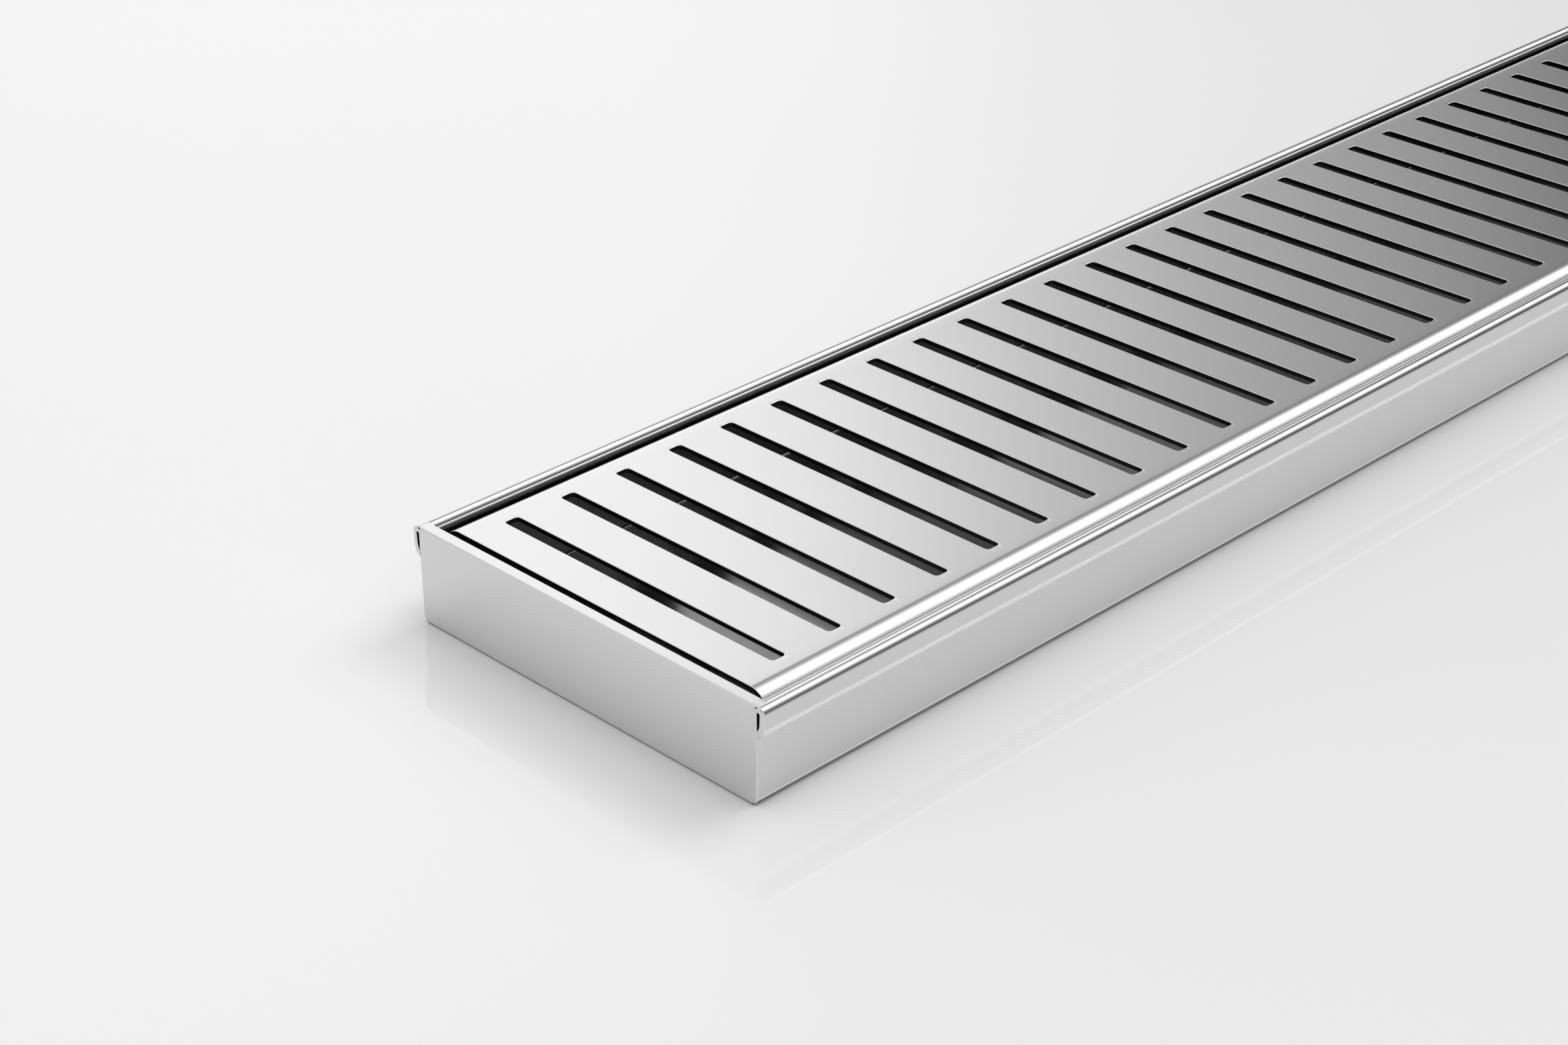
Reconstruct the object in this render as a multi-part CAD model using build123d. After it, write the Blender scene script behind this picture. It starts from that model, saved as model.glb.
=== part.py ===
from build123d import *
from math import acos, asin, cos, degrees, radians, sin, sqrt, tan
import os

# Linear shower drain: a shallow folded channel with a drop-in slotted grate.
# Millimetres. X runs along the drain, Y across it, +Z up.
# The origin is the middle of the underside, below the centre of the outlet.

# Folded channel
drain_length = 900.0       # over the two end faces
wall_spread = 101.0        # over the outer faces of the two side walls
channel_height = 22.8      # underside to the crown of the rolled edges
channel_sheet = 1.2        # stainless sheet
floor_bend_radius = 1.8    # outside radius between floor and side wall

# Rolled edge along each side wall: out, over, down, and curled back to the wall
hem_reach = 2.0            # how far the roll stands out past the wall's outer face
hem_lean = 2.0             # degrees by which the returned skin leans back to the wall
hem_skin_height = 2.1      # straight skin between the roll and the curl
hem_curl_radius = 4.6      # outside radius of the curl that brings the skin's end to the wall
hem_lip_gap = 0.05         # what stays open where the skin's end, cut flat, meets the wall

# End plates, welded inside the channel's ends and ground flush
end_plate_sheet = 2.9
weld_edge = 0.3            # where the dressed weld stops short of the roll's crown

# Slotted grate
grate_sheet = 1.2
grate_recess = 0.5         # how far the grate's top lies below the rolls' crowns
grate_side_gap = 1.3       # between grate flange and side wall
grate_end_gap = 2.25       # between grate and end plate
grate_flange_depth = 5.5   # top face to the flange's lower edge
grate_bend_radius = 4.4    # outside radius of the folded long edges
slot_width = 3.7
slot_length = 80.2
slot_corner_radius = 0.9
slot_pitch = 15.76
least_end_land = 9.0       # plain metal kept beyond the last slot

# Bearers: folded angles spot-welded under the grate, standing on the floor
bearer_sheet = 1.2
bearer_leg = 8.0           # flat leg under the grate, along X
bearer_bend_radius = 2.0
bearer_side_gap = 1.0      # between a bearer's end and the start of the grate's bend
bearer_lands_out = 3       # lands from the middle of the drain to an inner bearer
arch_width = 20.0          # water passes through arches in the web
arch_height = 11.0
arch_corner_radius = 5.0
arch_count = 3
arch_pitch = 28.0

# Outlet in the channel's floor, and the pressed strainer that stands over it
outlet_radius = 25.5
strainer_sheet = 1.0
strainer_seat = 6.0        # width of the strainer's flat rim beyond the outlet
strainer_foot_gap = 1.0    # between the outlet's edge and the foot of the dome
strainer_height = 6.5      # floor to the top of the dome
strainer_flank = 50.0      # degrees of the dome's side from level
strainer_hole_radius = 1.6
strainer_ring_pitch = 5.4
strainer_rings = 3

half_length = drain_length / 2
wall_out = wall_spread / 2
wall_in = wall_out - channel_sheet
floor_top = channel_sheet
roll_out = (hem_reach + channel_sheet) / 2
roll_in = roll_out - channel_sheet
roll_y = wall_in + roll_out
roll_z = channel_height - roll_out

grate_top = channel_height - grate_recess
grate_half_width = wall_in - grate_side_gap
grate_length = drain_length - 2 * (end_plate_sheet + grate_end_gap)
slot_count = int((grate_length - 2 * least_end_land - slot_width) // slot_pitch) + 1
slot_row_length = (slot_count - 1) * slot_pitch + slot_width
end_land = (grate_length - slot_row_length) / 2


def channel_outline():
    """Half of the folded strip's section, outer and inner face, for Y >= 0."""
    lean = radians(hem_lean)
    out = Vector(cos(lean), -sin(lean))
    down = Vector(-sin(lean), -cos(lean))
    centre = Vector(roll_y, roll_z)
    inner_top = centre + out * roll_in
    inner_bottom = inner_top + down * hem_skin_height
    outer_top = centre + out * roll_out
    outer_bottom = outer_top + down * hem_skin_height
    curl = outer_bottom - out * hem_curl_radius
    curl_in = hem_curl_radius - channel_sheet
    lip = wall_out + hem_lip_gap - curl.X
    inner_turn = degrees(acos(lip / curl_in))
    outer_turn = degrees(acos(lip / hem_curl_radius))
    inner_curl = CenterArc(curl, curl_in, -hem_lean, hem_lean - inner_turn)
    outer_curl = CenterArc(curl, hem_curl_radius, -hem_lean, hem_lean - outer_turn)
    bend = floor_bend_radius
    return [
        Line((0, 0), (wall_out - bend, 0)),
        CenterArc((wall_out - bend, bend), bend, -90, 90),
        Line((wall_out, bend), (wall_out, roll_z)),
        CenterArc((roll_y, roll_z), roll_in, -hem_lean, 180 + hem_lean),
        Line(inner_top, inner_bottom),
        inner_curl,
        Line(inner_curl @ 1, outer_curl @ 1),
        outer_curl,
        Line(outer_bottom, outer_top),
        CenterArc((roll_y, roll_z), roll_out, -hem_lean, 180 + hem_lean),
        Line((wall_in, roll_z), (wall_in, bend)),
        CenterArc((wall_out - bend, bend), bend - channel_sheet, -90, 90),
        Line((wall_out - bend, floor_top), (0, floor_top)),
    ]


def end_plate_outline():
    """Half of an end plate's outline: the inside of the channel, level with the crowns."""
    bend = floor_bend_radius
    crown_angle = degrees(asin(weld_edge / roll_out))
    weld_y = roll_y - weld_edge
    weld_z = roll_z + sqrt(roll_out ** 2 - weld_edge ** 2)
    return [
        Line((0, floor_top), (wall_out - bend, floor_top)),
        CenterArc((wall_out - bend, bend), bend - channel_sheet, -90, 90),
        Line((wall_in, bend), (wall_in, roll_z)),
        CenterArc((roll_y, roll_z), roll_out, 90 + crown_angle, 90 - crown_angle),
        Line((weld_y, weld_z), (weld_y, channel_height)),
        Line((weld_y, channel_height), (0, channel_height)),
    ]


def grate_outline():
    """Half of the grate's folded section: flat top, bend and short flange."""
    outer = grate_bend_radius
    inner = outer - grate_sheet
    side = grate_half_width
    bend_y = side - outer
    bend_z = grate_top - outer
    foot = grate_top - grate_flange_depth
    return [
        Line((0, grate_top), (bend_y, grate_top)),
        CenterArc((bend_y, bend_z), outer, 0, 90),
        Line((side, bend_z), (side, foot)),
        Line((side, foot), (side - grate_sheet, foot)),
        Line((side - grate_sheet, foot), (side - grate_sheet, bend_z)),
        CenterArc((bend_y, bend_z), inner, 0, 90),
        Line((bend_y, grate_top - grate_sheet), (0, grate_top - grate_sheet)),
    ]


def section(half_outline):
    """The whole section, mirrored about the drain's middle and set across the drain."""
    half = Curve() + half_outline
    return Plane.YZ * make_face(half + mirror(half, about=Plane.YZ))


def make_channel():
    """One folded strip with the outlet punched in its floor."""
    strip = extrude(section(channel_outline()), amount=half_length, both=True)
    outlet = Cylinder(outlet_radius, 4 * channel_sheet)
    return strip - outlet


def make_end_plate(side):
    """A plate whose outer face is flush with the channel's end; side is -1 or 1."""
    plate = extrude(section(end_plate_outline()), amount=end_plate_sheet)
    start = -half_length if side < 0 else half_length - end_plate_sheet
    return Pos(start, 0, 0) * plate


def make_grate():
    """The folded grate with its row of cross slots."""
    sheet = extrude(section(grate_outline()), amount=grate_length / 2, both=True)
    slot = RectangleRounded(slot_width, slot_length, slot_corner_radius)
    row = Sketch() + [place * slot for place in GridLocations(slot_pitch, 0, slot_count, 1)]
    cutter = extrude(Pos(0, 0, grate_top - grate_sheet / 2) * row, amount=grate_sheet, both=True)
    return sheet - cutter


def make_bearer(middle, web_side):
    """A folded angle under the grate: leg centred on middle, web at its -X or +X edge."""
    top = grate_top - grate_sheet
    half_leg = bearer_leg / 2
    outer = bearer_bend_radius
    inner = outer - bearer_sheet
    angle = Curve() + [
        Line((-half_leg, top), (half_leg - outer, top)),
        CenterArc((half_leg - outer, top - outer), outer, 0, 90),
        Line((half_leg, top - outer), (half_leg, floor_top)),
        Line((half_leg, floor_top), (half_leg - bearer_sheet, floor_top)),
        Line((half_leg - bearer_sheet, floor_top), (half_leg - bearer_sheet, top - outer)),
        CenterArc((half_leg - outer, top - outer), inner, 0, 90),
        Line((half_leg - outer, top - bearer_sheet), (-half_leg, top - bearer_sheet)),
        Line((-half_leg, top - bearer_sheet), (-half_leg, top)),
    ]
    half_width = grate_half_width - grate_bend_radius - bearer_side_gap
    bar = extrude(Plane.XZ * make_face(angle), amount=half_width, both=True)
    arch = RectangleRounded(arch_width, 2 * arch_height, arch_corner_radius)
    arches = Sketch() + [place * arch for place in GridLocations(arch_pitch, 0, arch_count, 1)]
    cutter = extrude(Plane.YZ * (Pos(0, floor_top) * arches), amount=bearer_leg)
    bar = bar - cutter
    if web_side < 0:
        bar = mirror(bar, about=Plane.YZ)
    return Pos(middle, 0, 0) * bar


def make_strainer():
    """A pressed dome with a flat rim around the outlet and rings of round holes."""
    flank = radians(strainer_flank)
    miter = strainer_sheet * tan(flank / 2)
    rim = outlet_radius + strainer_seat
    foot = outlet_radius - strainer_foot_gap
    crown = foot - (strainer_height - strainer_sheet) / tan(flank)
    low = floor_top
    high = floor_top + strainer_height
    profile = Polyline(
        (0, high), (crown, high), (foot, low + strainer_sheet), (rim, low + strainer_sheet),
        (rim, low), (foot - miter, low), (crown - miter, high - strainer_sheet),
        (0, high - strainer_sheet), close=True,
    )
    dome = revolve(Plane.XZ * make_face(profile), axis=Axis.Z)
    hole = Circle(strainer_hole_radius)
    holes = Sketch() + hole
    for ring in range(1, strainer_rings + 1):
        holes += [place * hole for place in PolarLocations(ring * strainer_ring_pitch, 6 * ring)]
    return dome - extrude(Pos(0, 0, high - 2 * strainer_sheet) * holes, amount=3 * strainer_sheet)


end_bearer_x = half_length - end_plate_sheet - grate_end_gap - end_land / 2
inner_bearer_x = bearer_lands_out * slot_pitch

nodes = {
    "channel": make_channel(),
    "end_plate_left": make_end_plate(-1),
    "end_plate_right": make_end_plate(1),
    "grate": make_grate(),
    "grate_bearer_1": make_bearer(-end_bearer_x, 1),
    "grate_bearer_2": make_bearer(-inner_bearer_x, 1),
    "grate_bearer_3": make_bearer(inner_bearer_x, -1),
    "grate_bearer_4": make_bearer(end_bearer_x, -1),
    "outlet_strainer": make_strainer(),
}

os.makedirs("parts", exist_ok=True)
for name, shape in nodes.items():
    export_step(shape, f"parts/{name}.step")
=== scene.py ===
import math

import bpy
import numpy as np
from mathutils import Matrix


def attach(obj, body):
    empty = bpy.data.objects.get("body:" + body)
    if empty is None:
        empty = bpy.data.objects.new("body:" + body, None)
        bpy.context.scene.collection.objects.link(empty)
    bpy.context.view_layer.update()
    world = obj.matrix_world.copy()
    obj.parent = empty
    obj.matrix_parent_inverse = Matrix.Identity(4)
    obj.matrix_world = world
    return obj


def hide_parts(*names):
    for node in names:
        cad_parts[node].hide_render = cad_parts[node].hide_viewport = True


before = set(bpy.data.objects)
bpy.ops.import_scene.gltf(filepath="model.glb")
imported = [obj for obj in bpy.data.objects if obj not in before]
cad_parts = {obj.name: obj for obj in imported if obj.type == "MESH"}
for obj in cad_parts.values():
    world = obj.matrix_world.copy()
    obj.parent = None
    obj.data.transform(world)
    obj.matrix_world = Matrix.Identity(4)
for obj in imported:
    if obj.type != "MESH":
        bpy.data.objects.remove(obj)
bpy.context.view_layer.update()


# Camera and studio
# A long lens looks down on the near end of the drain, which lies on a white table with a
# clear coat. A sky with one overhead softbox lights it, helped by three soft lamps.

camera_place = (-0.79886, -0.40602, 0.33342)
camera_turn = (math.radians(61.471), 0.0, math.radians(-45.061))
lens_mm = 70.961
sensor_mm = 36.0

camera_data = bpy.data.cameras.new("studio_camera")
camera_data.lens = lens_mm
camera_data.sensor_width = sensor_mm
camera_data.clip_start = 0.01
camera_data.clip_end = 100.0
camera = bpy.data.objects.new("studio_camera", camera_data)
camera.location = camera_place
camera.rotation_euler = camera_turn
scene = bpy.context.scene
scene.collection.objects.link(camera)
scene.camera = camera
scene.view_settings.view_transform = "Standard"


def add_node(tree, kind, inputs=None, **settings):
    """Adds one shader node, sets its properties, then its sockets' values or links."""
    node = tree.nodes.new(kind)
    for name, value in settings.items():
        setattr(node, name, value)
    for socket, value in (inputs or {}).items():
        if isinstance(value, bpy.types.NodeSocket):
            tree.links.new(value, node.inputs[socket])
        else:
            node.inputs[socket].default_value = value
    return node


def math_node(tree, operation, first, second=0.0):
    """The result socket of one arithmetic step on two values or sockets."""
    return add_node(tree, "ShaderNodeMath", {0: first, 1: second}, operation=operation).outputs[0]


def ramp_node(tree, factor, stops, interpolation="LINEAR"):
    """A grey ramp: stops are (place from 0 to 1, grey) pairs in rising order."""
    node = add_node(tree, "ShaderNodeValToRGB", {0: factor})
    node.color_ramp.interpolation = interpolation
    elements = node.color_ramp.elements
    while len(elements) < len(stops):
        elements.new(1.0)
    for element, (place, grey) in zip(elements, stops):
        element.position = place
        element.color = (grey, grey, grey, 1.0)
    return node.outputs[0]


# The studio is a sky worked out from a ray's direction, in degrees. The azimuth runs from +Y
# towards +X, and the round angle goes round the drain: 0 at +Y, 90 overhead, 180 at -Y.
# Towards the far end, a lit wall stands beyond the drain and fades to the right. Over it
# come, by round angle, a dim gap, the overhead softbox and the dim near side of the room.
# Towards the near end the light is plain. The bands set in between two values of a ray's X.
sky_strength = 4.0
wall_light = [
    (20.0, 1.10), (34.0, 1.22), (42.0, 1.21), (46.0, 1.07), (49.5, 0.78), (53.5, 0.54), (58.0, 0.39),
    (61.0, 0.24), (70.0, 0.15),
]
wall_top = (39.0, 54.0)
room_light = [
    (46.0, 0.43), (70.0, 0.42), (122.0, 0.20), (134.0, 0.13), (170.0, 0.13), (180.0, 0.35),
    (200.0, 0.60),
]
room_fade = [(0.55, 1.0), (0.62, 0.95), (0.68, 0.85), (0.74, 0.70), (0.82, 0.60)]
softbox_light = [
    (58.0, 0.0), (63.0, 0.06), (69.0, 0.20), (75.0, 0.48), (81.0, 0.85), (86.0, 1.4), (92.0, 2.8),
    (107.0, 2.8), (113.0, 1.8), (119.0, 1.2), (127.0, 0.80), (135.0, 0.48), (143.0, 0.27),
    (151.0, 0.12), (161.0, 0.04), (172.0, 0.0),
]
softbox_reach = [(0.50, 0.60), (0.56, 1.0), (0.80, 1.0), (0.88, 0.40)]
plain_light = [
    (-20.0, 0.75), (40.0, 0.77), (50.0, 0.86), (85.0, 0.86), (95.0, 0.16), (130.0, 0.14),
    (140.0, 0.82), (200.0, 0.86),
]
bands_start = 0.10
bands_full = 0.30
round_start = -160.0         # where the round angle's full turn begins

world = bpy.data.worlds.new("studio")
world.use_nodes = True
sky = world.node_tree
sky.nodes.clear()
ray = add_node(sky, "ShaderNodeTexCoord").outputs["Generated"]
ray_parts = add_node(sky, "ShaderNodeSeparateXYZ", {0: ray})
ray_x, ray_y, ray_z = (ray_parts.outputs[axis] for axis in "XYZ")
azimuth = math_node(sky, "DEGREES", math_node(sky, "ARCTAN2", ray_x, ray_y))
turned = math_node(sky, "DEGREES", math_node(sky, "ARCTAN2", ray_z, ray_y))
round_angle = add_node(
    sky, "ShaderNodeMath", {0: turned, 1: round_start + 360.0, 2: round_start},
    operation="WRAP").outputs[0]


def light_by(value, stops):
    """Light that follows a value through (value, light) stops, as a share of sky_strength."""
    low, high = stops[0][0], stops[-1][0]
    place = add_node(sky, "ShaderNodeMapRange", {"Value": value, "From Min": low, "From Max": high})
    return ramp_node(
        sky, place.outputs[0],
        [((stop - low) / (high - low), light / sky_strength) for stop, light in stops])


def share(value, start, full):
    """How far a value has gone from start to full, from 0 to 1 with eased ends."""
    return add_node(
        sky, "ShaderNodeMapRange", {"Value": value, "From Min": start, "From Max": full},
        interpolation_type="SMOOTHSTEP").outputs[0]


def mixed(factor, first, second):
    """Two lights mixed by a factor."""
    return add_node(sky, "ShaderNodeMix", {0: factor, 2: first, 3: second}, data_type="FLOAT").outputs[0]


room = math_node(sky, "MULTIPLY", light_by(round_angle, room_light), ramp_node(sky, ray_x, room_fade))
wall_and_room = mixed(share(round_angle, wall_top[1], wall_top[0]), room, light_by(azimuth, wall_light))
softbox = math_node(
    sky, "MULTIPLY", light_by(round_angle, softbox_light), ramp_node(sky, ray_x, softbox_reach))
banded = math_node(sky, "ADD", wall_and_room, softbox)
sky_light = mixed(share(ray_x, bands_start, bands_full), light_by(round_angle, plain_light), banded)
background = add_node(sky, "ShaderNodeBackground", {"Color": sky_light, "Strength": sky_strength})
add_node(sky, "ShaderNodeOutputWorld", {"Surface": background.outputs[0]})
scene.world = world

# Soft lamps, as (azimuth, height above the table, strength, mirrored or not), light the
# table and shade it beside the drain.
lamp_spread = 18.0           # degrees across
lamps = ((82.0, 52.0, 0.22, False), (160.0, 74.0, 0.30, True), (160.0, 48.0, 0.08, True))
for number, (azimuth_of, height_of, strength, mirrored) in enumerate(lamps, start=1):
    lamp_data = bpy.data.lights.new(f"soft_lamp_{number}", "SUN")
    lamp_data.energy = strength
    lamp_data.angle = math.radians(lamp_spread)
    lamp = bpy.data.objects.new(f"soft_lamp_{number}", lamp_data)
    lamp.rotation_euler = (math.radians(90 - height_of), 0.0, math.radians(180 - azimuth_of))
    lamp.visible_glossy = mirrored
    scene.collection.objects.link(lamp)

# The table is one flat sheet, matt white under a thin clear coat.
table_reach = 40.0
table_white = (0.94, 0.94, 0.94, 1.0)

table_mesh = bpy.data.meshes.new("table_top")
table_mesh.from_pydata(
    [(-table_reach, -table_reach, 0), (table_reach, -table_reach, 0),
     (table_reach, table_reach, 0), (-table_reach, table_reach, 0)], [], [(0, 1, 2, 3)])
table_top = bpy.data.objects.new("table_top", table_mesh)
scene.collection.objects.link(table_top)
table_finish = bpy.data.materials.new("table_white")
table_finish.use_nodes = True
table_shader = table_finish.node_tree.nodes["Principled BSDF"]
table_shader.inputs["Base Color"].default_value = table_white
table_shader.inputs["Roughness"].default_value = 0.7
table_shader.inputs["Specular IOR Level"].default_value = 0.0
table_shader.inputs["Coat Weight"].default_value = 0.90
table_shader.inputs["Coat Roughness"].default_value = 0.06
table_shader.inputs["Coat IOR"].default_value = 1.5
table_mesh.materials.append(table_finish)


# Folded channel
# One strip of 1.2 mm stainless sheet, folded to a shallow U. Each long edge is rolled out,
# over and back down to the wall, and the outlet is punched in the floor at mid-length.

sheet = 0.0012
half_length = 0.450
wall_out = 0.0505
crown = 0.0228               # height of the rolls' tops
floor_bend = 0.0018
roll_centre = (0.0509, 0.0212)
roll_reach = 0.0016
hem_lean = 2.0               # degrees
hem_skin = 0.0024
hem_curl = 0.0065
hem_turn = 22.0              # degrees down, where the curl gives way to the lip
hollow_skin = 0.0021         # the same straight run and curl on the hollow's side
hollow_curl = 0.0030
lip_gap = 0.00001            # keeps the lip's face clear of the wall's
outlet_radius = 0.0255
outlet_patch = 0.032         # half side of the square of floor that is meshed round the outlet
end_round = 0.0004           # dressed edge round the strip's cut ends
share_from = 150.0           # degrees round the roll where its dressed edge starts
share_over = 40.0            # degrees over which that edge grows to its full radius
hollow_share = 0.25          # how much of the dressed edge the hollow's side gets
straight_rows = np.array([0.1, 0.3])    # places along X between the outlet and an end

floor_points = 9             # points of half the section on each of its runs
bend_points = 11
roll_points = 33
curl_points = 7
lip_points = 8
fold_points = floor_points + bend_points
hem_points = curl_points + lip_points

join_scale = 1e7             # points alike to a ten-thousandth of a millimetre are joined
sharp_angle = 40.0           # degrees between faces that keep a crisp edge
brushed_spread = 0.03        # how far the scratches move the roughness either way
clouded_spread = 0.01        # and how far the slow cloudiness does
cloud_scale = 22.0
scratch_shade = 0.96         # a scratch's share of the finish's grey
scratch_depth = 0.00002


def ring(turn):
    """Directions (cos a, sin a) for angles in degrees."""
    return np.stack([np.cos(np.radians(turn)), np.sin(np.radians(turn))], axis=-1)


def arc(centre, radius, start, stop, count):
    """Points on a circle, centre plus radius times (cos a, sin a), and those directions."""
    outward = ring(np.linspace(start, stop, count))
    return np.asarray(centre) + radius * outward, outward


def quarter_round(radius, count=5):
    """
    A rounded edge leaving an end face: distances in from the end, radius (1 - cos a), and
    how far the surface is drawn in there, radius (1 - sin a), for a from 0 to 90 degrees.
    """
    angles = np.radians(np.linspace(0, 90, count))
    return radius * (1 - np.cos(angles)), radius * (1 - np.sin(angles))


roll_turns = np.linspace(180, -hem_lean, roll_points)


def end_share(turn):
    """
    How far a point of the roll, at an angle in degrees, shares in the rounding of the cut
    ends: (share_from - a) / share_over, so not at all where the end plate is welded in.
    """
    return np.clip((share_from - turn) / share_over, 0, 1)


def strip_path():
    """
    Half of the folded strip's section in (y, z), from the floor's edge to the lip, as its two
    faces and the directions that each looks in. The first face is the channel's inside and
    the roll's outside. Straight runs lie between circular bends. In the hem, a face tilts
    down round one bend, and the outer face then turns under round the lip, whose radius is
    its distance out from the wall / cos of that tilt.
    """
    bend_centre = np.array([wall_out - floor_bend, floor_bend])
    bend = ring(np.linspace(-90, 0, bend_points))
    roll = ring(roll_turns)
    down = np.array([roll[-1, 1], -roll[-1, 0]])
    to_wall = wall_out + lip_gap
    curl = ring(-np.linspace(hem_lean, hem_turn, curl_points))
    curl_line = roll_centre + roll_reach * roll[-1] + hem_skin * down + hem_curl * (curl - curl[0])
    lip = ring(-np.linspace(hem_turn, 90, lip_points + 1))[1:]
    lip_line = curl_line[-1] + (curl_line[-1, 0] - to_wall) / curl[-1, 0] * (lip - curl[-1])
    start = roll_centre + (roll_reach - sheet) * roll[-1] + hollow_skin * down
    tilt = math.degrees(math.acos(roll[-1, 0] - (start[0] - to_wall) / hollow_curl))
    hollow = ring(-np.linspace(hem_lean, tilt, hem_points))
    facing = np.concatenate([
        bend_centre + (floor_bend - sheet) * bend, roll_centre + roll_reach * roll,
        curl_line, lip_line])
    other = np.concatenate([
        bend_centre + floor_bend * bend, roll_centre + (roll_reach - sheet) * roll,
        start + hollow_curl * (hollow - hollow[0])])
    facing_out = np.concatenate([-bend, roll, curl, lip])
    other_out = np.concatenate([bend, -roll, -hollow])
    return facing, facing_out, other, other_out


def both_sides(*halves):
    """
    Half sections' points or directions, from the middle outwards, mirrored so that they run
    from -Y to +Y. Where a half starts at Y = 0, its first entry comes once.
    """
    once = int(halves[0][0, 0] == 0)
    return [np.concatenate([half[once:][::-1] * [-1, 1], half]) for half in halves]


def run_length(line):
    """Distance along a section from its first point, as on the flat sheet."""
    return np.concatenate([[0], np.cumsum(np.linalg.norm(np.diff(line, axis=0), axis=1))])


def shell_faces(rows, columns, cut=None):
    """
    Faces of a sheet whose two sides are grids of rows by columns, numbered one after the
    other: both sides without the cells that are cut out, then the ends and long edges.
    """
    grid = np.arange(rows * columns).reshape(rows, columns)
    other = rows * columns
    quads = np.stack([grid[:-1, :-1], grid[:-1, 1:], grid[1:, 1:], grid[1:, :-1]], axis=-1)
    kept = quads.reshape(-1, 4) if cut is None else quads[~cut]
    faces = [kept[:, ::-1], kept + other]
    for edge, way in ((grid[0], 1), (grid[-1], -1), (grid[:, 0], -1), (grid[:, -1], 1)):
        band = np.stack([edge[:-1], edge[1:], edge[1:] + other, edge[:-1] + other], axis=-1)
        faces.append(band[:, ::way])
    return faces, grid


def steel_piece(name, points, faces, developed, finishes, finish_of=None):
    """
    Makes a closed mesh of points and four-sided faces, joining points that share a place
    and dropping faces that shrink to a line. developed is each point's place on the flat
    sheet, which the brushing follows, and finish_of numbers each face's finish.
    """
    corners = developed[faces]
    keys = np.round(points * join_scale).astype(np.int64)
    _, first, index = np.unique(keys, axis=0, return_index=True, return_inverse=True)
    points, faces = points[first], index.ravel()[faces]
    kept = faces != np.roll(faces, -1, axis=1)
    kept &= (kept.sum(axis=1) >= 3)[:, None]
    counts = kept.sum(axis=1)
    used = counts > 0
    counts = counts[used]
    mesh = bpy.data.meshes.new(name)
    mesh.vertices.add(len(points))
    mesh.vertices.foreach_set("co", points.astype(np.float32).ravel())
    mesh.loops.add(int(counts.sum()))
    mesh.loops.foreach_set("vertex_index", faces[kept].astype(np.int32))
    mesh.polygons.add(len(counts))
    starts = np.concatenate([[0], np.cumsum(counts)[:-1]])
    mesh.polygons.foreach_set("loop_start", starts.astype(np.int32))
    mesh.update(calc_edges=True)
    mesh.uv_layers.new(name="sheet").data.foreach_set("uv", corners[kept].astype(np.float32).ravel())
    mesh.shade_smooth()
    mesh.set_sharp_from_angle(angle=math.radians(sharp_angle))
    for finish in finishes:
        mesh.materials.append(finish)
    if finish_of is not None:
        mesh.polygons.foreach_set("material_index", finish_of[used].astype(np.int32))
    piece = bpy.data.objects.new(name, mesh)
    scene.collection.objects.link(piece)
    even = piece.modifiers.new("even_shading", "WEIGHTED_NORMAL")
    even.keep_sharp = True
    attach(piece, "root")
    return piece


def steel_finish(name, grey, roughness, drawn, relief, on_sheet=True):
    """
    Satin stainless: noise drawn out along the sheet, drawn = (length, width) of a scratch,
    varies the gloss and gives fine relief, and a slow noise adds the mill's cloudiness.
    """
    material = bpy.data.materials.new(name)
    material.use_nodes = True
    tree = material.node_tree
    if on_sheet:
        place = add_node(tree, "ShaderNodeUVMap", uv_map="sheet").outputs[0]
    else:
        place = add_node(tree, "ShaderNodeTexCoord").outputs["Object"]
    stretched = add_node(
        tree, "ShaderNodeMapping", {"Vector": place, "Scale": (1 / drawn[0], 1 / drawn[1], 1 / drawn[1])})
    scratches = add_node(
        tree, "ShaderNodeTexNoise",
        {"Vector": stretched.outputs[0], "Scale": 1.0, "Detail": 4.0, "Roughness": 0.65}).outputs[0]
    cloud = add_node(
        tree, "ShaderNodeTexNoise", {"Vector": place, "Scale": cloud_scale, "Detail": 3.0}).outputs[0]
    brushed = add_node(
        tree, "ShaderNodeMapRange",
        {"Value": scratches, "From Min": 0.25, "From Max": 0.75,
         "To Min": roughness - brushed_spread, "To Max": roughness + brushed_spread}).outputs[0]
    clouded = add_node(
        tree, "ShaderNodeMapRange",
        {"Value": cloud, "From Min": 0.3, "From Max": 0.7,
         "To Min": -clouded_spread, "To Max": clouded_spread}).outputs[0]
    gloss = math_node(tree, "ADD", brushed, clouded)
    shade = ramp_node(tree, scratches, [(0.2, grey * scratch_shade), (0.8, grey)])
    bump = add_node(
        tree, "ShaderNodeBump", {"Height": scratches, "Strength": relief, "Distance": scratch_depth})
    shader = tree.nodes["Principled BSDF"]
    shader.inputs["Metallic"].default_value = 1.0
    tree.links.new(shade, shader.inputs["Base Color"])
    tree.links.new(gloss, shader.inputs["Roughness"])
    tree.links.new(bump.outputs[0], shader.inputs["Normal"])
    return material


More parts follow.
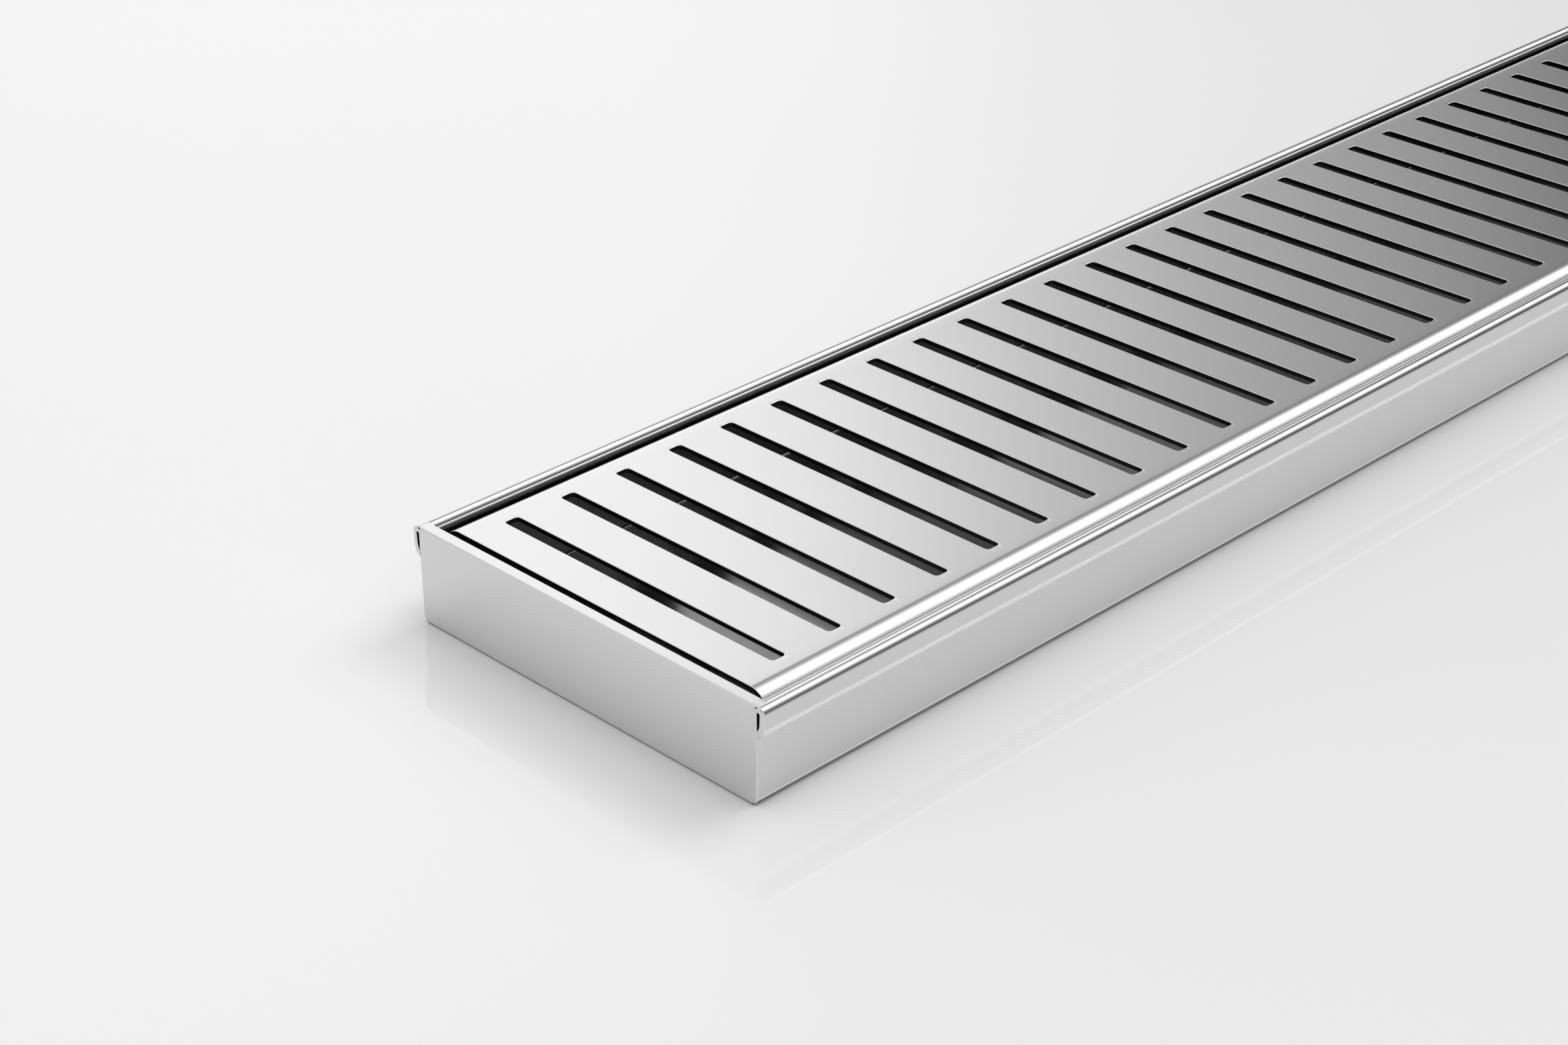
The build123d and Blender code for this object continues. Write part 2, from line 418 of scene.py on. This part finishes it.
def make_channel(finishes):
    """The strip's two faces on a grid of section points by places along X, less the outlet."""
    satin, mill, linished, wall, painted_black_shade, painted_highlight = range(len(finishes))
    across = np.linspace(0, outlet_patch, floor_points)
    facing, facing_out, other, other_out = strip_path()
    floor = np.stack([across, np.full(floor_points, sheet)], axis=-1)
    upward = np.tile([0.0, 1.0], (floor_points, 1))
    facing, facing_out, other, other_out = both_sides(
        np.concatenate([floor, facing]), np.concatenate([upward, facing_out]),
        np.concatenate([floor * [1, 0], other]), np.concatenate([-upward, other_out]))
    length = run_length(facing)
    length -= length[-1] / 2

    # The ends' rounding takes in the roll as end_share says, and all of the skin, curl and lip.
    # On the other face it takes in all of the floor and its bend, and little of the hollow.
    half_share = np.concatenate([np.zeros(fold_points), end_share(roll_turns), np.ones(hem_points)])
    facing_share = np.concatenate([half_share[:0:-1], half_share])
    half_share = np.concatenate([np.ones(fold_points), np.full(roll_points + hem_points, hollow_share)])
    other_share = np.concatenate([half_share[:0:-1], half_share])
    back, drop = quarter_round(end_round)
    along = np.concatenate([-straight_rows[::-1], -across[:0:-1], across, straight_rows])
    inland = np.zeros(len(along))
    end = np.full(len(back), half_length)
    station = np.concatenate([-end, along, end])
    back = np.concatenate([back, inland, -back[::-1]])
    drop = np.concatenate([drop, inland, drop[::-1]])

    def side(line, outward, share):
        """One face: the section's line, drawn into the metal by its share at the ends."""
        x = station[:, None] + back[:, None] * share
        inward = (drop[:, None] * share)[..., None] * outward
        return np.concatenate([x[..., None], line - inward], axis=-1).reshape(-1, 3)

    points = np.concatenate([side(facing, facing_out, facing_share), side(other, other_out, other_share)])
    rows, columns = len(station), len(facing)
    middle_row, middle_column = rows // 2, columns // 2
    patch_cells = 2 * (floor_points - 1)
    first_row, first_column = middle_row - patch_cells // 2, middle_column - patch_cells // 2
    cut = np.zeros((rows - 1, columns - 1), bool)
    cut[first_row:first_row + patch_cells, first_column:first_column + patch_cells] = True
    faces, grid = shell_faces(rows, columns, cut)

    # The cut ends are linished with the end plates. Inside, the floor keeps its mill surface.
    # Its bends, the walls below the rolls, the floor's underside and the outer bend's lower part get
    # dark grey steel as painted shade, and the rolls' hollows get near-black steel as painted shade.
    # The lip and the outer bend's top, at the wall's foot, get a lighter, rougher grey: painted highlight.
    at_end = np.zeros(cut.shape, bool)
    at_end[:len(end) - 1] = at_end[1 - len(end):] = True
    from_middle = np.abs(np.arange(columns - 1) - (columns - 2) / 2)
    curl_start = fold_points + roll_points
    inside = np.select(
        [from_middle < floor_points, from_middle < fold_points, from_middle > curl_start + 2],
        [mill, wall, painted_highlight], satin)
    outside = np.select(
        [at_end & (from_middle > fold_points - 6), from_middle < fold_points - 3,
         from_middle < fold_points - 1, from_middle > fold_points],
        [linished, wall, painted_highlight, painted_black_shade], satin)
    finish_of = [np.where(at_end, linished, inside)[~cut], outside[~cut]]
    edges = (linished, linished, satin, satin)
    finish_of += [np.full(len(band), number) for band, number in zip(faces[2:], edges)]

    # From the square patch's border, rays run in to the outlet's edge on both faces.
    patch = grid[first_row:first_row + patch_cells + 1, first_column:first_column + patch_cells + 1]
    border = np.concatenate([patch[0, :-1], patch[:-1, -1], patch[-1, :0:-1], patch[:0:-1, 0]])
    rim = points[border, :2]
    rim = outlet_radius * rim / np.linalg.norm(rim, axis=1)[:, None]
    count = len(rim)
    top = len(points) + np.arange(count)
    under = top + count
    points = np.concatenate([points, np.c_[rim, np.full(count, sheet)], np.c_[rim, np.zeros(count)]])
    below = border + rows * columns
    for outer, inner, way in ((border, top, -1), (below, under, 1), (top, under, -1)):
        band = np.stack([outer, np.roll(outer, -1), np.roll(inner, -1), inner], axis=-1)
        faces.append(band[:, ::way])
        finish_of.append(np.full(count, mill))
    place = np.stack(np.broadcast_arrays(station[:, None], length), axis=-1).reshape(-1, 2)
    place = np.concatenate([place, place, rim, rim])
    return steel_piece(
        "channel_shell", points, np.concatenate(faces), place, finishes,
        np.concatenate(finish_of))


channel_satin = steel_finish(
    "channel_satin", grey=0.73, roughness=0.14, drawn=(0.030, 0.00012), relief=0.03)
channel_mill = steel_finish("channel_mill", grey=0.82, roughness=0.20, drawn=(0.020, 0.00030), relief=0.05)
end_linished = steel_finish(
    "end_linished", grey=0.745, roughness=0.32, drawn=(0.020, 0.00015), relief=0.10)
# Dark grey steel (0.30): painted shade on the channel's inner bends and walls, under its floor and on the
# outer bend's lower part.
channel_painted_shade = steel_finish("channel_painted_shade", grey=0.30, roughness=0.12, drawn=(0.030, 0.00012), relief=0.05)
# Near-black steel (0.07): painted shade on the grate's underside, cut ends, foot edges and slot walls, and
# in the rolls' hollows.
steel_painted_shade = steel_finish("steel_painted_shade", grey=0.07, roughness=0.30, drawn=(0.012, 0.00030), relief=0.10)
# Lighter grey (0.90) with rougher steel: painted highlight on the lip and on the outer bend's top at the
# wall's foot.
channel_painted_highlight = steel_finish("channel_painted_highlight", grey=0.90, roughness=0.28, drawn=(0.030, 0.00012), relief=0.03)
channel_shell = make_channel(
    [channel_satin, channel_mill, end_linished, channel_painted_shade, steel_painted_shade, channel_painted_highlight])
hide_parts("channel")


# End plates
# A 2.9 mm stainless plate closes each end. It is welded in along the floor, the walls and
# the rolls' inner sides, and its outer face is linished flush with the strip's cut end.

plate_sheet = 0.0029
plate_inner_round = 0.00015
crown_angle = 100.8          # degrees round the roll where the plate's top edge ends


def make_end_plate(name, side, finishes):
    """
    Columns across the drain, each from the floor, bend or roll up to the plate's top edge,
    at places through the plate's thickness. Both long top edges are quarter rounds, and the
    outer one runs into the strip's as end_share says.
    """
    satin, linished = range(len(finishes))
    bend, _ = arc((wall_out - floor_bend, floor_bend), floor_bend - sheet, -90, 0, bend_points)
    turns = np.append(roll_turns[roll_turns > crown_angle], crown_angle)
    outer_back, outer_drop = quarter_round(end_round)
    inner_back, inner_drop = quarter_round(plate_inner_round, 4)
    depth = np.concatenate([outer_back, plate_sheet - inner_back[::-1]])
    drop = np.concatenate([outer_drop, inner_drop[::-1]])
    at_end = (depth < plate_sheet / 2)[:, None]
    roll = roll_centre + (roll_reach - at_end * drop[:, None] * end_share(turns))[..., None] * ring(turns)
    half = np.zeros((len(depth), len(bend) + len(turns), 3, 2))
    half[:, :len(bend), 0] = bend
    half[:, :len(bend), 1, 0] = bend[:, 0]
    half[:, :len(bend), 1, 1] = roll_centre[1]
    half[:, len(bend):, 0] = roll
    half[:, len(bend):, 1] = roll_centre + roll_reach * ring(turns)
    half[:, :, 2, 0] = half[:, :, 1, 0]
    half[:, :, 2, 1] = crown - drop[:, None]
    across = np.concatenate([half[:, ::-1] * [-1.0, 1.0], half], axis=1)
    back = np.tile(depth[:, None, None], across.shape[1:3])
    shares = np.concatenate([end_share(turns)[::-1], np.zeros(2 * len(bend)), end_share(turns)])
    back[:len(outer_back), :, 0] *= shares
    points = np.concatenate([side * (half_length - back)[..., None], across], axis=-1)
    index = np.arange(points[..., 0].size).reshape(points.shape[:3])
    faces = []
    for station, way in ((index[0], side), (index[-1], -side)):
        cap = np.stack([station[:-1, :-1], station[1:, :-1], station[1:, 1:], station[:-1, 1:]], axis=-1)
        faces.append(cap.reshape(-1, 4)[:, ::way])
    loop = np.concatenate([index[:, :, 0], index[:, -1:, 1], index[:, ::-1, 2], index[:, :1, 1]], axis=1)
    onward = np.roll(loop, -1, axis=1)
    rim = np.stack([loop[:-1], loop[1:], onward[1:], onward[:-1]], axis=-1)
    faces.append(rim.reshape(-1, 4)[:, ::side])
    points = points.reshape(-1, 3)
    place = np.c_[points[:, 1], points[:, 2] + side * points[:, 0]]
    finish_of = np.concatenate([
        np.full(len(faces[0]), linished), np.full(len(faces[1]) + len(faces[2]), satin)])
    return steel_piece(
        name, points, np.concatenate(faces), place, finishes, finish_of)


plate_satin = steel_finish("plate_satin", grey=0.745, roughness=0.16, drawn=(0.020, 0.00015), relief=0.12)
plate_near = make_end_plate("end_plate_near", -1, [plate_satin, end_linished])
plate_far = make_end_plate("end_plate_far", 1, [plate_satin, end_linished])
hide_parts("end_plate_left")
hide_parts("end_plate_right")


# Slotted grate
# One 1.2 mm stainless sheet, its long edges folded down round a 4.4 mm bend. The cross slots
# are punched, then the top gets a fine lengthwise satin that leaves the slots' edges rounded.

grate_top = 0.0223
grate_half_length = 0.44485
grate_side = 0.048
grate_bend = 0.0044
grate_foot = 0.0168
slot_count = 56
slot_pitch = 0.01576
slot_half = np.array([0.00185, 0.0401])    # half a slot's width and length
slot_corner = 0.0009
slot_round = 0.00016         # edge left round each slot and cut end by the satin finishing
burr_round = 0.0001          # edge on the punch's far side
corner_points = 7
cell_reach = 0.0415          # how far across the drain a slot's cell of sheet is meshed


def around_corners(corner):
    """One quadrant's points in (x, y), carried round all four quadrants in turning order."""
    back = corner[..., ::-1, :]
    return np.concatenate([corner, back * [-1, 1], corner * [-1, -1], back * [1, -1]], axis=-2)


def make_grate(finishes):
    """
    The folded section on a grid of section points by places along X, with each slot's cell
    cut out and filled by rings that run from the cell's border, over the rounded edge, down
    the slot's wall and out again under the sheet.
    """
    satin, painted_black_shade = range(len(finishes))
    middle = sheet / 2
    turn = np.radians(np.linspace(0, 90, corner_points))
    half_turn = corner_points // 2
    corner = slot_half - slot_corner
    step_y = corner[1] + (slot_corner + slot_round) * np.sin(turn[:half_turn])
    step_x = corner[0] + (slot_corner + slot_round) * np.cos(turn[half_turn + 1:])
    border_y = np.append(step_y, cell_reach)
    bend_centre = (grate_side - grate_bend, grate_top - grate_bend)
    bend_line, bend_out = arc(bend_centre, grate_bend - middle, 90, 0, 15)
    flat_line = np.stack([border_y, np.full(len(border_y), grate_top - middle)], axis=-1)
    foot_line = np.array([
        [grate_side - middle, grate_foot + 2 * burr_round], [grate_side - middle, grate_foot]])
    line, facing = both_sides(
        np.concatenate([flat_line, bend_line, foot_line]),
        np.concatenate([np.tile([0.0, 1.0], (len(border_y), 1)), bend_out, np.tile([1.0, 0.0], (2, 1))]))
    length = run_length(line) - run_length(line)[-1] / 2
    thin = np.zeros(len(line))
    thin[[0, -1]] = burr_round

    slots = (np.arange(slot_count) - (slot_count - 1) / 2) * slot_pitch
    cell_x = np.concatenate([[-slot_pitch / 2], -step_x, step_x[::-1]])
    inner_x = np.append((slots[:, None] + cell_x).ravel(), slots[-1] + slot_pitch / 2)
    back, drop = quarter_round(slot_round, 4)
    x = np.concatenate([back - grate_half_length, inner_x, grate_half_length - back[::-1]])
    drop = np.concatenate([drop, np.zeros(len(inner_x)), drop[::-1]])

    def side(sign):
        """One face: the middle line plus the half thickness, drawn in at ends and feet."""
        reach = sign * (middle - drop[:, None] - thin)
        yz = line + reach[..., None] * facing
        return np.concatenate([np.broadcast_to(x[:, None, None], yz.shape[:2] + (1,)), yz], axis=-1)

    points = np.concatenate([side(1).reshape(-1, 3), side(-1).reshape(-1, 3)])
    first_row, first_column = len(back), len(line) // 2 - len(border_y)
    last_row, last_column = first_row + len(cell_x) * slot_count, first_column + 2 * len(border_y) - 1
    cut = np.zeros((len(x) - 1, len(line) - 1), bool)
    cut[first_row:last_row, first_column:last_column] = True
    faces, _ = shell_faces(len(x), len(line), cut)
    # Only the grate's top is satin. Its underside, cut ends and foot edges get the near-black steel as
    # painted shade.
    finish_of = [np.full(len(band), painted_black_shade if number else satin) for number, band in enumerate(faces)]
    place = np.stack(np.broadcast_arrays(x[:, None], length), axis=-1).reshape(-1, 2)

    top_back, top_drop = quarter_round(slot_round, 4)
    burr_back, burr_drop = quarter_round(burr_round, 3)
    grow = np.concatenate([top_drop, burr_drop[::-1]])
    level = np.concatenate([grate_top - top_back, grate_top - sheet + burr_back[::-1]])
    reach = (slot_corner + grow)[:, None]
    quadrant = np.stack([corner[0] + reach * np.cos(turn), corner[1] + reach * np.sin(turn)], axis=-1)
    border = np.concatenate([
        np.c_[np.full(len(step_y), slot_pitch / 2), step_y],
        [[slot_pitch / 2, cell_reach]],
        np.c_[step_x, np.full(len(step_x), cell_reach)]])
    rings = around_corners(np.concatenate([border[None], quadrant, border[None]]))
    level = np.concatenate([[grate_top], level, [grate_top - sheet]])
    cell = np.concatenate([rings, np.broadcast_to(level[:, None, None], rings.shape[:2] + (1,))], axis=-1)
    cells = cell + np.stack([slots, 0 * slots, 0 * slots], axis=-1)[:, None, None]
    index = len(points) + np.arange(cells[..., 0].size).reshape(cells.shape[:3])
    onward = np.roll(index, -1, axis=2)
    wall = np.stack([index[:, :-1], onward[:, :-1], onward[:, 1:], index[:, 1:]], axis=-1)
    faces.append(wall.reshape(-1, 4))
    # Below its rounded top edge, each slot's wall gets the near-black steel as painted shade.
    wall_finish = np.where(np.arange(wall.shape[1]) < len(top_back), satin, painted_black_shade)
    finish_of.append(np.broadcast_to(wall_finish[:, None], wall.shape[:3]).ravel())
    cells = cells.reshape(-1, 3)
    points = np.concatenate([points, cells])
    place = np.concatenate([place, place, cells[:, :2]])
    return steel_piece(
        "grate_sheet", points, np.concatenate(faces), place, finishes,
        np.concatenate(finish_of))


grate_satin = steel_finish("grate_satin", grey=0.745, roughness=0.16, drawn=(0.030, 0.00010), relief=0.05)
grate_sheet = make_grate([grate_satin, steel_painted_shade])
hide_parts("grate")


# Bearers
# Four angles folded from 1.2 mm stainless sheet are spot-welded under the grate's plain
# lands and stand on the channel's floor. Water passes through three arches in each web.

bearer_leg = 0.008
bearer_bend = 0.002
bearer_half_width = 0.0426
bearer_places = ((-0.44005, 1), (-0.04728, 1), (0.04728, -1), (0.44005, -1))
arch_centres = (-0.028, 0.0, 0.028)
arch_half = 0.010
arch_height = 0.011
arch_corner = 0.005
web_run = 0.006              # what each step down the web adds to the brushing's run


def make_bearer(name, middle, web_side, finish):
    """
    A folded angle on a grid of places across the drain by points down its section: leg,
    quarter bend and web. The web's last points follow the arches, which are quarter circles
    between upright sides and a level crown.
    """
    half = sheet / 2
    top = grate_top - sheet
    bend, bend_out = arc((bearer_leg / 2 - bearer_bend, top - bearer_bend), bearer_bend - half, 90, 0, 9)
    line = np.concatenate([[[-bearer_leg / 2, top - half]], bend, np.repeat(bend[-1:], 3, axis=0)])
    facing = np.concatenate([[[0.0, 1.0]], bend_out, np.repeat(bend_out[-1:], 3, axis=0)])
    turn = np.radians(np.linspace(0, 90, corner_points))
    arch_y = arch_half - arch_corner * (1 - np.cos(turn))
    arch_z = sheet + arch_height - arch_corner * (1 - np.sin(turn))
    spring = arch_z[0]
    outline_y = np.concatenate([[-arch_half], -arch_y, arch_y[::-1], [arch_half]])
    outline_z = np.concatenate([[sheet], arch_z, arch_z[::-1], [sheet]])
    y = np.concatenate([
        [-bearer_half_width], *(centre + outline_y for centre in arch_centres), [bearer_half_width]])
    foot = np.concatenate([[sheet], *(outline_z for _ in arch_centres), [sheet]])
    solid = foot == sheet
    section = np.broadcast_to(line, (len(y),) + line.shape).copy()
    section[:, -3, 1] = sheet + arch_height + sheet
    section[:, -2, 1] = np.where(solid, spring, foot)
    section[:, -1, 1] = foot

    def side(sign):
        """One face of the angle: the middle line plus or minus the half thickness."""
        xz = section + sign * half * facing
        x = middle + web_side * xz[..., 0]
        return np.stack([x, np.broadcast_to(y[:, None], x.shape), xz[..., 1]], axis=-1)

    points = np.concatenate([side(1).reshape(-1, 3), side(-1).reshape(-1, 3)])
    faces, _ = shell_faces(len(y), len(line))
    length = run_length(line)
    length[-3:] = length[-4] + web_run * np.arange(1, 4)
    place = np.stack(np.broadcast_arrays(y[:, None], length), axis=-1).reshape(-1, 2)
    faces = np.concatenate(faces)[:, ::-web_side]
    return steel_piece(name, points, faces, np.concatenate([place, place]), [finish])


# Dark grey steel (0.30) for the bearers under the grate: painted shade.
bearer_finish = steel_finish("bearer_painted_shade", grey=0.30, roughness=0.30, drawn=(0.012, 0.00020), relief=0.15)
for number, (bearer_x, web_side) in enumerate(bearer_places, start=1):
    bearer = make_bearer(f"bearer_{number}", bearer_x, web_side, bearer_finish)
    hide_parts(f"grate_bearer_{number}")


# Outlet strainer
# A dome pressed from 1 mm stainless sheet and pierced with rings of round holes. It lies
# loose over the outlet and keeps hair out of the waste.

strainer_finish = steel_finish(
    "strainer_pressed", grey=0.78, roughness=0.22, drawn=(0.0006, 0.0006), relief=0.10, on_sheet=False)
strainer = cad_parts["outlet_strainer"]
strainer.data.materials.clear()
strainer.data.materials.append(strainer_finish)
